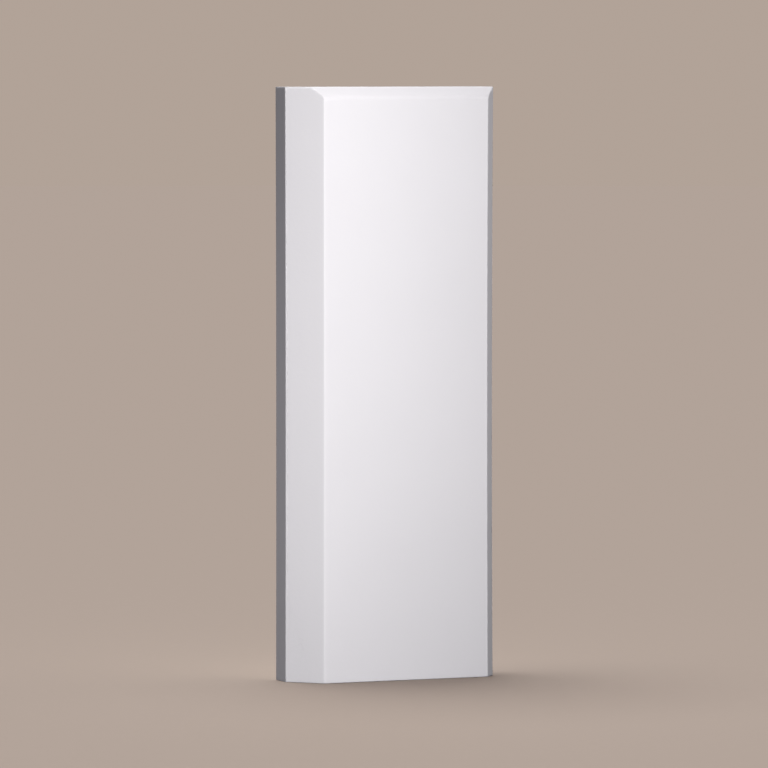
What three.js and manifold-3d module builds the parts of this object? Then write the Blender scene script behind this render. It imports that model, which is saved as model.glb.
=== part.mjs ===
// Door plinth block: a moulded white block that stands on the floor and carries the foot of a door casing.
// Millimetres, +Z up. The block stands on z = 0 about the Z axis, its front faces -Y and its back faces +Y.
import * as THREE from "three";
import { mergeVertices } from "three/addons/utils/BufferGeometryUtils.js";
import Module from "manifold-3d";

// Driving dimensions
const HEIGHT = 300;
const WIDTH = 110;
const DEPTH = 28;
const DEEP_CHAMFER = 15; // down the left front edge, measured along each face
const NARROW_CHAMFER = 5; // down the right front edge and along the top front edge
const ARRIS_RADIUS = 0.8; // rounding of the crisp edges that the mould shapes
const SOFT_RADIUS = 5; // rounding of the soft edge between the front and its top chamfer
const ROUNDING_STEPS = 6; // flats in each rounding
const SQUARE = 0; // the back edges and the foot are cut square, with no rounding
const OVERRUN = 10; // how far each profile runs past the other, so that their ends never meet

// Faces of the block, worked out from the dimensions
const LEFT = -WIDTH / 2;
const RIGHT = WIDTH / 2;
const FRONT = -DEPTH / 2;
const BACK = DEPTH / 2;

const primerWhite = new THREE.MeshStandardMaterial({
  name: "primer_white",
  color: 0xf0edf0,
  roughness: 0.55,
  metalness: 0,
  flatShading: true,
});

const wasm = await Module();
wasm.setup();

// The points that round a corner [x, y, radius] between its neighbours, or the corner alone if it is square.
function roundedCorner([x, y, radius], [beforeX, beforeY], [afterX, afterY]) {
  const corner = new THREE.Vector2(x, y);
  if (radius === SQUARE) {
    return [corner];
  }
  const toBefore = new THREE.Vector2(beforeX, beforeY).sub(corner).normalize();
  const toAfter = new THREE.Vector2(afterX, afterY).sub(corner).normalize();
  const halfAngle = Math.acos(toBefore.dot(toAfter)) / 2;
  const tangentLength = radius / Math.tan(halfAngle);
  const centre = toBefore.clone().add(toAfter).setLength(radius / Math.sin(halfAngle)).add(corner);
  const start = corner.clone().addScaledVector(toBefore, tangentLength).sub(centre).angle();
  const end = corner.clone().addScaledVector(toAfter, tangentLength).sub(centre).angle();
  return new THREE.EllipseCurve(centre.x, centre.y, radius, radius, start, end).getPoints(ROUNDING_STEPS);
}

// A closed outline through corners [x, y, radius], listed anticlockwise.
function roundedOutline(corners) {
  const points = corners.flatMap((corner, index) =>
    roundedCorner(corner, corners.at(index - 1), corners[(index + 1) % corners.length]),
  );
  return new THREE.Shape(points);
}

function extrude(outline, depth) {
  return new THREE.ExtrudeGeometry(outline, { depth, bevelEnabled: false });
}

function toSolid(geometry) {
  geometry.deleteAttribute("normal");
  geometry.deleteAttribute("uv");
  const merged = mergeVertices(geometry);
  const vertProperties = new Float32Array(merged.attributes.position.array);
  const triVerts = new Uint32Array(merged.index.array);
  return new wasm.Manifold(new wasm.Mesh({ numProp: 3, vertProperties, triVerts }));
}

function toGeometry(solid) {
  const { vertProperties, triVerts } = solid.getMesh();
  const geometry = new THREE.BufferGeometry();
  geometry.setAttribute("position", new THREE.BufferAttribute(vertProperties, 3));
  geometry.setIndex(new THREE.BufferAttribute(triVerts, 1));
  geometry.computeVertexNormals();
  return geometry;
}

// The plan (x, y) runs up the block: both upright chamfers and the sides are in it.
function planProfile() {
  const outline = roundedOutline([
    [LEFT + DEEP_CHAMFER, FRONT, ARRIS_RADIUS],
    [RIGHT - NARROW_CHAMFER, FRONT, ARRIS_RADIUS],
    [RIGHT, FRONT + NARROW_CHAMFER, ARRIS_RADIUS],
    [RIGHT, BACK, SQUARE],
    [LEFT, BACK, SQUARE],
    [LEFT, FRONT + DEEP_CHAMFER, ARRIS_RADIUS],
  ]);
  return extrude(outline, HEIGHT + 2 * OVERRUN).translate(0, 0, -OVERRUN);
}

// The side view (y, z) runs across the block: the foot, the top and the top front chamfer are in it.
function sideProfile() {
  const outline = roundedOutline([
    [FRONT, 0, SQUARE],
    [BACK + OVERRUN, 0, SQUARE],
    [BACK + OVERRUN, HEIGHT, SQUARE],
    [FRONT + NARROW_CHAMFER, HEIGHT, ARRIS_RADIUS],
    [FRONT, HEIGHT - NARROW_CHAMFER, SOFT_RADIUS],
  ]);
  const acrossTheBlock = new THREE.Matrix4().makeBasis(
    new THREE.Vector3(0, 1, 0),
    new THREE.Vector3(0, 0, 1),
    new THREE.Vector3(1, 0, 0),
  );
  return extrude(outline, WIDTH + 2 * OVERRUN).applyMatrix4(acrossTheBlock).translate(LEFT - OVERRUN, 0, 0);
}

// Where the two profiles cross is the block, with its chamfers mitred into each other at the top corners.
function plinthBlock() {
  const block = toSolid(planProfile()).intersect(toSolid(sideProfile()));
  const mesh = new THREE.Mesh(toGeometry(block), primerWhite);
  mesh.name = "plinth_block";
  return mesh;
}

const doorPlinthBlock = new THREE.Group();
doorPlinthBlock.name = "door_plinth_block";
doorPlinthBlock.add(plinthBlock());

export default doorPlinthBlock;
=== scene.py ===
"""Door plinth block: moulded foam under white primer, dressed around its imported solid. Metres, +Z up."""

import math

import bmesh
import bpy
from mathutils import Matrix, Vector


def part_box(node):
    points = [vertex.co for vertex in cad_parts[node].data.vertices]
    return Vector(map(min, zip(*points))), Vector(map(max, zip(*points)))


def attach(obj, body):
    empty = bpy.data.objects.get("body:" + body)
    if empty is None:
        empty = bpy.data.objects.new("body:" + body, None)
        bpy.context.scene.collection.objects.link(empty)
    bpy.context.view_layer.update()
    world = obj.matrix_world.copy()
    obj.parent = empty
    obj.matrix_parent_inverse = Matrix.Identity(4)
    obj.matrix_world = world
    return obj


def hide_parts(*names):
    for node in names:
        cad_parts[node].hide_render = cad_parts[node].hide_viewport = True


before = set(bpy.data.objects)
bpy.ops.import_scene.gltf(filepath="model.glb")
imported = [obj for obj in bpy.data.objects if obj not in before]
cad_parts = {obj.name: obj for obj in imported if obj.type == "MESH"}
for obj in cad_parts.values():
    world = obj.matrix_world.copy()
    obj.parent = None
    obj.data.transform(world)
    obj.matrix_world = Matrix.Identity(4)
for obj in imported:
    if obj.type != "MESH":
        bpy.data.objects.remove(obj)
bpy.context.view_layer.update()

MM = 0.001
RIGHTWARD = Vector((1, 0, 0))
BACKWARD = Vector((0, 1, 0))
UPWARD = Vector((0, 0, 1))

# The block, from its solid's box
BLOCK_NODE = "plinth_block"
LOW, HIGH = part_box(BLOCK_NODE)
DEEP_CHAMFER = 15 * MM
NARROW_CHAMFER = 5 * MM

# Its edges: crisp from the mould, crisper where they are cut and sanded, soft along the top of the front
MOULDED_RADIUS = 0.8 * MM
CUT_RADIUS = 0.5 * MM
SOFT_RADIUS = 5 * MM
EDGE_STEPS = 8
SOFT_STEPS = 6
ON_THE_CUT = 0.0001 * MM  # points closer than this to a cut lie on it
SAME_POINT = 0.025 * MM  # points closer than this are one
FLAT_MARGIN = 1.2 * MM  # band round each flat face, so that the face itself stays flat in the light
SMALLEST_FLAT = 100 * MM * MM  # every flat face is larger than this, every facet of the soft edge smaller
CORNER_LENGTH = 2.5 * MM  # how far the turn at a corner runs along the edges that meet there
PLACE_DIGITS = 6  # places that agree to a micrometre are one

# How far the long sides draw in at half height, as the foam shrinks in its mould
LEFT_HOLLOW = 0.2 * MM
RIGHT_HOLLOW = 0.5 * MM
HOLLOW_STEPS = 12

# The primer: a little clouded, with a fine skin, and painted whiter along the edges as a painted highlight
PRIMER_SHADE = (0.815, 0.790, 0.812, 1)
PRIMER_TINT = (0.845, 0.820, 0.842, 1)
PRIMER_PAINTED_HIGHLIGHT = (0.920, 0.895, 0.917, 1)
TOP_HIGHLIGHT = 1.0  # shares of the full painted highlight
EDGE_HIGHLIGHT = 0.5
NO_HIGHLIGHT = 0.0
CLOUD_SIZE = 45 * MM
PEEL_SIZE = 1.6 * MM
GRAIN_SIZE = 0.35 * MM
PEEL_SHARE = 0.7  # of the skin's relief; the grain makes the rest
PRIMER_ROUGHNESS = 0.58
GRAIN_ROUGHNESS = 0.08
EDGE_POLISH = 0.06
PRIMER_IOR = 1.45
RELIEF_DEPTH = 0.08 * MM
RELIEF_STRENGTH = 0.6

# The bare foam: sanded lengthwise, with open pores painted darker as painted shade
FOAM_PORE_SHADE = (0.600, 0.565, 0.500, 1)
FOAM_FLAT = (0.800, 0.770, 0.705, 1)
FOAM_ROUGHNESS = 0.25  # more than the primer's
PORE_SPACING = 0.9 * MM
PORE_PATCH = 2 * PORE_SPACING  # size of a patch whose pores are about as wide as each other
WIDEST_PORE = 0.6  # share of the spacing that the widest pore reaches
PORE_FLOOR = 0.5  # share of a pore's reach that is its floor; its wall makes the rest
PORE_RELIEF = 0.9
UNMARKED_TONE = 0.6  # how far the foam is from the pores' painted shade where no sanding mark lightens it
SANDING_WIDTH = 0.9 * MM
SANDING_STRETCH = 30  # how much longer than wide a sanding mark is
SANDING_SHARE = 0.6  # how much the marks count beside the pores

# The primer that strays round the back's edges
OVERSPRAY = 6 * MM
OVERSPRAY_RAGS = 1.5 * OVERSPRAY  # size of the rags along its border
OVERSPRAY_THINS = 0.7 * OVERSPRAY  # where the foam begins to show through
OVERSPRAY_ENDS = 1.5 * OVERSPRAY  # where the foam is bare
FLAT_DEPTH = 0.1 * MM  # what lies within this of the back or the foot belongs to it

# The photograph's camera
IMAGE_SIZE = 768
SENSOR = 36.0  # millimetres wide
FOCAL_PIXELS = 6275
CAMERA_TURN = math.radians(23.19)  # to the block's left
CAMERA_DISTANCE = 3.174
CAMERA_HEIGHT = 0.316
AIM_SIDEWAYS = -1.3 * MM
AIM_HEIGHT = 0.14954

# Studio
FLOOR_RADIUS = 12.0
FLOOR_SIDES = 96
FLOOR_COLOUR = (0.54, 0.445, 0.382)
MOTTLE_SIZE = 6 * MM
PAPER_UNEVENNESS = 0.015
FLOOR_LIGHT = 2.66  # irradiance across the wash's beam
WASH_FROM = Vector((-0.1, 0.4, 1.6))
AMBIENT = (0.001, 0.001, 0.012)  # a trace of blue from all round


class Value:
    """A node's output; sums on outputs that hold numbers are written as Python, and add Math nodes."""

    def __init__(self, finish, socket):
        self.finish = finish
        self.socket = socket

    def _maths(self, operation, first, second):
        return self.finish.node("ShaderNodeMath", {"operation": operation}, {0: first, 1: second})

    def __add__(self, other):
        return self._maths("ADD", self, other)

    def __radd__(self, other):
        return self._maths("ADD", other, self)

    def __sub__(self, other):
        return self._maths("SUBTRACT", self, other)

    def __rsub__(self, other):
        return self._maths("SUBTRACT", other, self)

    def __mul__(self, other):
        return self._maths("MULTIPLY", self, other)

    def __rmul__(self, other):
        return self._maths("MULTIPLY", other, self)

    def __gt__(self, other):
        return self._maths("GREATER_THAN", self, other)

    def __lt__(self, other):
        return self._maths("LESS_THAN", self, other)

    def at_most(self, other):
        return self._maths("MINIMUM", self, other)

    def at_least(self, other):
        return self._maths("MAXIMUM", self, other)


class Finish:
    """A node tree for one surface; node() adds any node and gives back one of its outputs."""

    # The sockets of a Mix node that hold colours
    FIRST_COLOUR = 6
    SECOND_COLOUR = 7
    BLENDED_COLOUR = 2

    def __init__(self, tree):
        self.tree = tree
        self.tree.nodes.clear()

    def node(self, kind, settings=None, inputs=None, output=0):
        made = self.tree.nodes.new(kind)
        for name, setting in (settings or {}).items():
            setattr(made, name, setting)
        for name, given in (inputs or {}).items():
            if isinstance(given, Value):
                self.tree.links.new(given.socket, made.inputs[name])
            else:
                made.inputs[name].default_value = given
        return Value(self, made.outputs[output]) if made.outputs else None

    def axes(self, place):
        """The x, y and z of a place."""
        return [self.node("ShaderNodeSeparateXYZ", inputs={0: place}, output=axis) for axis in "XYZ"]

    def noise(self, place, size, detail=2.0):
        """Soft noise from 0 to 1 whose blotches are about size across."""
        return self.node("ShaderNodeTexNoise", inputs={"Vector": place, "Scale": 1 / size, "Detail": detail})

    def blend(self, share, first, second):
        """first where share is 0, second where it is 1; both are colours."""
        return self.node(
            "ShaderNodeMix",
            {"data_type": "RGBA"},
            {"Factor": share, self.FIRST_COLOUR: first, self.SECOND_COLOUR: second},
            output=self.BLENDED_COLOUR,
        )

    def fade(self, value, low, high):
        """0 at low and below, 1 at high and above, and a smooth step between."""
        return self.node(
            "ShaderNodeMapRange",
            {"interpolation_type": "SMOOTHSTEP"},
            {"Value": value, "From Min": low, "From Max": high},
        )


def new_material(name):
    material = bpy.data.materials.new(name)
    material.use_nodes = True
    return material, Finish(material.node_tree)


def bare_share(finish, place):
    """1 on the foot and in the middle of the back; round the back runs a ragged band of overspray."""
    x, y, z = finish.axes(place)
    to_edge = (x - LOW.x).at_most(HIGH.x - x).at_most((z - LOW.z).at_most(HIGH.z - z))
    ragged = finish.noise(place, OVERSPRAY_RAGS, detail=4.0)
    past_overspray = finish.fade(to_edge + ragged * OVERSPRAY, OVERSPRAY_THINS, OVERSPRAY_ENDS)
    on_back = y > HIGH.y - FLAT_DEPTH
    on_foot = z < LOW.z + FLAT_DEPTH
    return (on_back * past_overspray).at_least(on_foot)


def primer_coat(finish, place):
    """The primer's colour, roughness and relief."""
    highlight_share = finish.node("ShaderNodeAttribute", {"attribute_name": "highlight_share"}, output="Fac")
    cloud = finish.noise(place, CLOUD_SIZE)
    peel = finish.noise(place, PEEL_SIZE, detail=1.0)
    grain = finish.noise(place, GRAIN_SIZE)
    clouded = finish.blend(cloud, PRIMER_SHADE, PRIMER_TINT)
    # the edges are painted whiter by their share: a painted highlight
    colour = finish.blend(highlight_share, clouded, PRIMER_PAINTED_HIGHLIGHT)
    roughness = PRIMER_ROUGHNESS + grain * GRAIN_ROUGHNESS - highlight_share * EDGE_POLISH
    relief = peel * PEEL_SHARE + grain * (1 - PEEL_SHARE)
    return colour, roughness, relief


def sanded_foam(finish, place):
    """The bare foam's colour and relief: round pores of many widths between long sanding marks, the pores
    painted darker as painted shade.
    """
    lengthwise = finish.node(
        "ShaderNodeMapping",
        inputs={"Vector": place, "Scale": (1, 1, 1 / SANDING_STRETCH)},
    )
    sanding = finish.noise(lengthwise, SANDING_WIDTH, detail=3.0) * SANDING_SHARE
    to_pore = finish.node("ShaderNodeTexVoronoi", inputs={"Vector": place, "Scale": 1 / PORE_SPACING})
    pore_reach = finish.noise(place, PORE_PATCH) * WIDEST_PORE
    between_pores = finish.fade(to_pore, pore_reach * PORE_FLOOR, pore_reach)
    # the pores are painted darker: painted shade in the hollows
    colour = finish.blend(between_pores * (UNMARKED_TONE + sanding), FOAM_PORE_SHADE, FOAM_FLAT)
    relief = between_pores * PORE_RELIEF + sanding
    return colour, relief


def primed_foam():
    """White primer on dense foam; the foot and the middle of the back are bare foam, sanded flat."""
    material, finish = new_material("primed_foam")
    place = finish.node("ShaderNodeTexCoord", output="Object")
    bare = bare_share(finish, place)
    primer, primer_roughness, skin = primer_coat(finish, place)
    foam, sanded = sanded_foam(finish, place)
    normal = finish.node(
        "ShaderNodeBump",
        inputs={
            "Strength": RELIEF_STRENGTH,
            "Distance": RELIEF_DEPTH,
            "Height": skin * (1 - bare) + sanded * bare,
        },
    )
    shader = finish.node(
        "ShaderNodeBsdfPrincipled",
        inputs={
            "Base Color": finish.blend(bare, primer, foam),
            "Roughness": primer_roughness + bare * FOAM_ROUGHNESS,
            "Normal": normal,
            "IOR": PRIMER_IOR,
        },
    )
    finish.node("ShaderNodeOutputMaterial", inputs={"Surface": shader})
    return material


def pale_paper():
    material, finish = new_material("pale_paper")
    place = finish.node("ShaderNodeTexCoord", output="Object")
    mottle = finish.noise(place, MOTTLE_SIZE, detail=4.0)
    darker = [channel * (1 - PAPER_UNEVENNESS) for channel in FLOOR_COLOUR]
    lighter = [channel * (1 + PAPER_UNEVENNESS) for channel in FLOOR_COLOUR]
    shader = finish.node(
        "ShaderNodeBsdfDiffuse",
        inputs={"Color": finish.blend(mottle, (*darker, 1), (*lighter, 1))},
    )
    finish.node("ShaderNodeOutputMaterial", inputs={"Surface": shader})
    return material


class Plane:
    """A flat face or facet of the block: the way it faces, and how far out it lies."""

    def __init__(self, facing, point):
        self.facing = Vector(facing).normalized()
        self.reach = self.facing.dot(Vector(point))


# The flat faces by name; each chamfer passes through a point on the front, set in by its width
FACES = {
    "left": Plane((-1, 0, 0), LOW),
    "right": Plane((1, 0, 0), HIGH),
    "front": Plane((0, -1, 0), LOW),
    "back": Plane((0, 1, 0), HIGH),
    "foot": Plane((0, 0, -1), LOW),
    "top": Plane((0, 0, 1), HIGH),
    "left_chamfer": Plane((-1, -1, 0), (LOW.x + DEEP_CHAMFER, LOW.y, 0)),
    "right_chamfer": Plane((1, -1, 0), (HIGH.x - NARROW_CHAMFER, LOW.y, 0)),
    "top_chamfer": Plane((0, -1, 1), (0, LOW.y, HIGH.z - NARROW_CHAMFER)),
}
CHAMFERS = ("left_chamfer", "right_chamfer", "top_chamfer")

# The crisp edges, each by the two faces that meet there
UPRIGHT_EDGES = (
    ("front", "left_chamfer"),
    ("front", "right_chamfer"),
    ("left", "left_chamfer"),
    ("right", "right_chamfer"),
)
TOP_FRONT_EDGE = (("top", "top_chamfer"),)
MITRES = (
    ("left_chamfer", "top_chamfer"),
    ("right_chamfer", "top_chamfer"),
)
CUT_TOP_EDGES = (
    ("top", "left"),
    ("top", "left_chamfer"),
    ("top", "right"),
    ("top", "back"),
)
CUT_BACK_AND_FOOT_EDGES = (
    ("back", "left"),
    ("back", "right"),
    ("back", "foot"),
    ("foot", "left"),
    ("foot", "left_chamfer"),
    ("foot", "front"),
    ("foot", "right_chamfer"),
    ("foot", "right"),
)


def slice_through(bm, point, facing, cut_away=False):
    """Cuts the mesh along a plane, and gives back the edges of the cut."""
    cut = bmesh.ops.bisect_plane(
        bm,
        geom=[*bm.verts, *bm.edges, *bm.faces],
        dist=ON_THE_CUT,
        plane_co=point,
        plane_no=facing,
        clear_outer=cut_away,
    )
    return [item for item in cut["geom_cut"] if isinstance(item, bmesh.types.BMEdge)]


def shave(bm, plane, highlight_share):
    """Takes off what lies beyond a plane, and closes the cut with one face that carries that share of
    painted highlight.
    """
    rim = slice_through(bm, plane.facing * plane.reach, plane.facing, cut_away=True)
    if rim:
        closed = bmesh.ops.edgeloop_fill(bm, edges=rim)
        for face in closed["faces"]:
            face[bm.faces.layers.float["highlight_share"]] = highlight_share


def fan(first, second, radius, steps):
    """The planes that touch the round of an edge, between one of its faces and the other."""
    lean = first.facing.dot(second.facing)
    first_inset = first.reach - radius
    second_inset = second.reach - radius
    along_first = (first_inset - lean * second_inset) / (1 - lean * lean)
    along_second = (second_inset - lean * first_inset) / (1 - lean * lean)
    centre = first.facing * along_first + second.facing * along_second
    facings = [first.facing.slerp(second.facing, step / steps) for step in range(1, steps)]
    return [Plane(facing, centre + facing * radius) for facing in facings]


def chamfered_block():
    bm = bmesh.new()
    bm.faces.layers.float.new("highlight_share")
    bmesh.ops.create_cube(bm, size=1.0)
    bmesh.ops.scale(bm, vec=HIGH - LOW, verts=bm.verts)
    bmesh.ops.translate(bm, vec=(LOW + HIGH) / 2, verts=bm.verts)
    for name in CHAMFERS:
        shave(bm, FACES[name], NO_HIGHLIGHT)
    return bm


def round_soft_edge(bm):
    """Rounds the edge between the front and its top chamfer, and gives back the facets of the round."""
    facets = fan(FACES["front"], FACES["top_chamfer"], SOFT_RADIUS, SOFT_STEPS)
    for plane in facets:
        shave(bm, plane, NO_HIGHLIGHT)
    return facets


def inset_flats(bm):
    flats = [face for face in bm.faces if face.calc_area() > SMALLEST_FLAT]
    bmesh.ops.inset_individual(bm, faces=flats, thickness=FLAT_MARGIN, use_even_offset=True)


def round_edges(bm, pairs, radius, highlight_share):
    """Rounds each edge in the list, a pair of planes at a time."""
    for first, second in pairs:
        for plane in fan(first, second, radius, EDGE_STEPS):
            shave(bm, plane, highlight_share)


def by_name(edges):
    return [(FACES[first], FACES[second]) for first, second in edges]


def round_crisp_edges(bm, soft_facets):
    """Rounds all edges but the soft one, whose facets end in mitres of their own at the upright chamfers."""
    upright_chamfers = (FACES["left_chamfer"], FACES["right_chamfer"])
    soft_mitres = [(facet, chamfer) for facet in soft_facets for chamfer in upright_chamfers]
    # each edge gets its share of painted highlight: most on the top edges, none on the mitres
    round_edges(bm, by_name(UPRIGHT_EDGES), MOULDED_RADIUS, EDGE_HIGHLIGHT)
    round_edges(bm, by_name(TOP_FRONT_EDGE), MOULDED_RADIUS, TOP_HIGHLIGHT)
    round_edges(bm, by_name(MITRES) + soft_mitres, MOULDED_RADIUS, NO_HIGHLIGHT)
    round_edges(bm, by_name(CUT_TOP_EDGES), CUT_RADIUS, TOP_HIGHLIGHT)
    round_edges(bm, by_name(CUT_BACK_AND_FOOT_EDGES), CUT_RADIUS, EDGE_HIGHLIGHT)
    bmesh.ops.remove_doubles(bm, verts=bm.verts, dist=SAME_POINT)
    bmesh.ops.recalc_face_normals(bm, faces=bm.faces)


def hold_corners(bm, corners):
    """Cuts across the block beside each corner, so that an edge keeps its own shading up to there."""
    both_ways = (-CORNER_LENGTH, CORNER_LENGTH)
    for axis, facing in enumerate((RIGHTWARD, BACKWARD, UPWARD)):
        beside = {round(corner[axis] + step, PLACE_DIGITS) for corner in corners for step in both_ways}
        for reach in sorted(beside):
            slice_through(bm, facing * reach, facing)


def mark_highlight_share(bm):
    """Carries the share of painted highlight of the facets to their corners, where the material reads it."""
    on_faces = bm.faces.layers.float["highlight_share"]
    on_corners = bm.verts.layers.float.new("highlight_share")
    for vert in bm.verts:
        vert[on_corners] = max(face[on_faces] for face in vert.link_faces)
    bm.faces.layers.float.remove(on_faces)


def draw_in_sides(bm):
    """Hollows the two long sides a little, most at half height."""
    height = HIGH.z - LOW.z
    for step in range(1, HOLLOW_STEPS):
        slice_through(bm, UPWARD * (LOW.z + height * step / HOLLOW_STEPS), UPWARD)
    for vert in bm.verts:
        up = (vert.co.z - LOW.z) / height
        across = (vert.co.x - LOW.x) / (HIGH.x - LOW.x)
        bow = 4 * up * (1 - up)  # 0 at the foot and the top, 1 at half height
        vert.co.x += bow * (LEFT_HOLLOW * (1 - across) - RIGHT_HOLLOW * across)


def new_object(name, bm, material):
    mesh = bpy.data.meshes.new(name)
    bm.to_mesh(mesh)
    bm.free()
    mesh.materials.append(material)
    made = bpy.data.objects.new(name, mesh)
    bpy.context.scene.collection.objects.link(made)
    return made


def moulded_block(material):
    bm = chamfered_block()
    corners = [vert.co.copy() for vert in bm.verts]
    soft_facets = round_soft_edge(bm)
    inset_flats(bm)
    round_crisp_edges(bm, soft_facets)
    hold_corners(bm, corners)
    mark_highlight_share(bm)
    draw_in_sides(bm)
    for face in bm.faces:
        face.smooth = True
    block = new_object("moulded_block", bm, material)
    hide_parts(BLOCK_NODE)
    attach(block, "root")
    return block


def round_floor(material):
    bm = bmesh.new()
    bmesh.ops.create_circle(bm, cap_ends=True, radius=FLOOR_RADIUS, segments=FLOOR_SIDES)
    floor = new_object("floor", bm, material)
    floor.visible_diffuse = False  # so that its brown doesn't tint the block
    return floor


def softbox(name, width, height, power, spread=180):
    lamp = bpy.data.lights.new(name, "AREA")
    lamp.shape = "RECTANGLE"
    lamp.size = width
    lamp.size_y = height
    lamp.energy = power
    lamp.spread = math.radians(spread)
    return lamp


def broad_sun(name, irradiance, width):
    lamp = bpy.data.lights.new(name, "SUN")
    lamp.energy = irradiance
    lamp.angle = math.radians(width)
    return lamp


def shine(lamp, place, target, lit, glossy=True):
    """Places a lamp, aims it and keeps it to one object; a lamp that isn't glossy leaves no reflection."""
    light = bpy.data.objects.new(lamp.name, lamp)
    light.location = place
    light.rotation_euler = (Vector(target) - Vector(place)).to_track_quat("-Z", "Y").to_euler()
    light.visible_camera = False
    light.visible_glossy = glossy
    receivers = bpy.data.collections.new(lamp.name + "_lights")
    receivers.objects.link(lit)
    light.light_linking.receiver_collection = receivers
    bpy.context.scene.collection.objects.link(light)


def studio_lights(block, floor):
    """A tall key close in front, fills low on the left, above and behind, and a wash down on the floor."""
    middle = (LOW + HIGH) / 2
    shine(
        softbox("key", width=0.14, height=0.78, power=1.13, spread=104),
        place=(-0.032, -0.400, 0.422),
        target=(-0.073, -0.014, 0.251),
        lit=block,
    )
    shine(
        softbox("low_fill", width=0.2, height=0.2, power=1.07),
        place=(-0.333, -0.333, 0.030),
        target=middle,
        lit=block,
    )
    shine(
        softbox("top_light", width=0.5, height=0.5, power=4.8),
        place=(0, 0.44, 1.2),
        target=(0, 0, HIGH.z),
        lit=block,
        glossy=False,
    )
    shine(
        softbox("back_fill", width=0.5, height=0.5, power=30),
        place=(1.1, 1.45, 0.5),
        target=middle,
        lit=block,
        glossy=False,
    )
    shine(broad_sun("floor_wash", FLOOR_LIGHT, width=50), place=WASH_FROM, target=(0, 0, 0), lit=floor)


def studio_world():
    """A backdrop of the floor's own tone for the eye, and only a little light of its own."""
    world = bpy.data.worlds.new("studio")
    world.use_nodes = True
    finish = Finish(world.node_tree)
    seen = finish.node("ShaderNodeLightPath", output="Is Camera Ray")
    on_floor = FLOOR_LIGHT * WASH_FROM.normalized().z / math.pi
    tone = [channel * on_floor for channel in FLOOR_COLOUR]
    shown = finish.blend(seen, (*AMBIENT, 1), (*tone, 1))
    background = finish.node("ShaderNodeBackground", inputs={"Color": shown})
    finish.node("ShaderNodeOutputWorld", inputs={"Surface": background})
    bpy.context.scene.world = world


def photo_camera():
    lens = bpy.data.cameras.new("camera")
    lens.sensor_width = SENSOR
    lens.lens = FOCAL_PIXELS / IMAGE_SIZE * SENSOR
    camera = bpy.data.objects.new("camera", lens)
    away = Vector((-math.sin(CAMERA_TURN), -math.cos(CAMERA_TURN), 0))
    across = Vector((math.cos(CAMERA_TURN), -math.sin(CAMERA_TURN), 0))
    camera.location = away * CAMERA_DISTANCE + UPWARD * CAMERA_HEIGHT
    target = across * AIM_SIDEWAYS + UPWARD * AIM_HEIGHT
    camera.rotation_euler = (target - camera.location).to_track_quat("-Z", "Y").to_euler()
    bpy.context.scene.collection.objects.link(camera)
    bpy.context.scene.camera = camera


photo_camera()
block = moulded_block(primed_foam())
floor = round_floor(pale_paper())
studio_lights(block, floor)
studio_world()
bpy.context.scene.view_settings.view_transform = "Standard"
